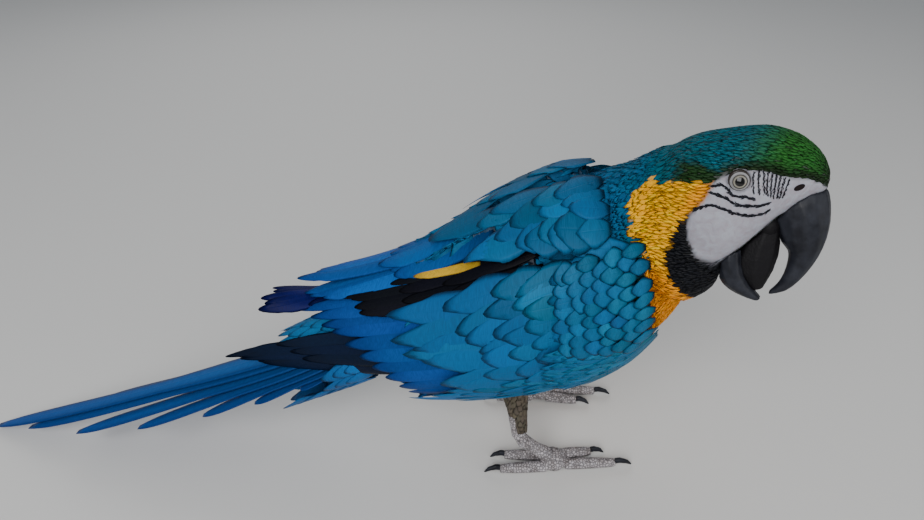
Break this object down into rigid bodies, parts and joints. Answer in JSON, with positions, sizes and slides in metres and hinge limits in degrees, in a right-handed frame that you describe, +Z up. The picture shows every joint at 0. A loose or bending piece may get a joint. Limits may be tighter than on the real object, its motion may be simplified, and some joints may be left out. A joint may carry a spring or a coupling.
{
  "type": "parrot",
  "caption": "Life-size blue and yellow macaw standing level on both feet, head turned to its right, bill parted, long stepped tail reaching the floor.",
  "frame": {"origin": "centre of the bounding box at floor level", "axes": "+X the way the body faces, +Y the bird's left, +Z up; -Y is the bird's right side, towards which it turns its head"},
  "size_m": [0.6862, 0.1784, 0.3332],
  "materials": {
    "bill": "satin black horn",
    "claw": "satin dark horn",
    "eye": "wet gloss, pale iris with a black pupil",
    "tongue": "moist matte black",
    "foot_scale": "fine grey scales",
    "thigh_feathers": "short soft tan feathers",
    "flight_feathers": "smooth stiff dark blue feathers with a slight sheen",
    "body_feathers": "soft contour feathers: teal blue above, yellow at the neck side, black chin, white bare face"
  },
  "bodies": {
    "root": {"bill_lower": "bill", "bill_upper": "bill", "claw_1_left": "claw", "claw_1_right": "claw", "claw_2_left": "claw", "claw_2_right": "claw", "claw_3_left": "claw", "claw_3_right": "claw", "claw_4_left": "claw", "claw_4_right": "claw", "coverts_left": "body_feathers", "coverts_right": "body_feathers", "eye_left": "eye", "eye_right": "eye", "head": "body_feathers", "neck": "body_feathers", "primaries_left": "flight_feathers", "primaries_right": "flight_feathers", "primary_coverts_left": "body_feathers", "primary_coverts_right": "body_feathers", "scapulars_left": "body_feathers", "scapulars_right": "body_feathers", "secondaries_left": "flight_feathers", "secondaries_right": "flight_feathers", "shank_left": "foot_scale", "shank_right": "foot_scale", "shoulder_left": "body_feathers", "shoulder_right": "body_feathers", "sole_left": "foot_scale", "sole_right": "foot_scale", "tail_coverts_above": "body_feathers", "tail_coverts_below": "body_feathers", "tail_left_1": "flight_feathers", "tail_left_2": "flight_feathers", "tail_left_3": "flight_feathers", "tail_left_4": "flight_feathers", "tail_left_5": "flight_feathers", "tail_left_6": "flight_feathers", "tail_right_1": "flight_feathers", "tail_right_2": "flight_feathers", "tail_right_3": "flight_feathers", "tail_right_4": "flight_feathers", "tail_right_5": "flight_feathers", "tail_right_6": "flight_feathers", "tertials_left": "body_feathers", "tertials_right": "body_feathers", "thigh_left": "thigh_feathers", "thigh_right": "thigh_feathers", "toe_1_left": "foot_scale", "toe_1_right": "foot_scale", "toe_2_left": "foot_scale", "toe_2_right": "foot_scale", "toe_3_left": "foot_scale", "toe_3_right": "foot_scale", "toe_4_left": "foot_scale", "toe_4_right": "foot_scale", "tongue": "tongue", "trunk": "body_feathers"}
  },
  "joints": []
}
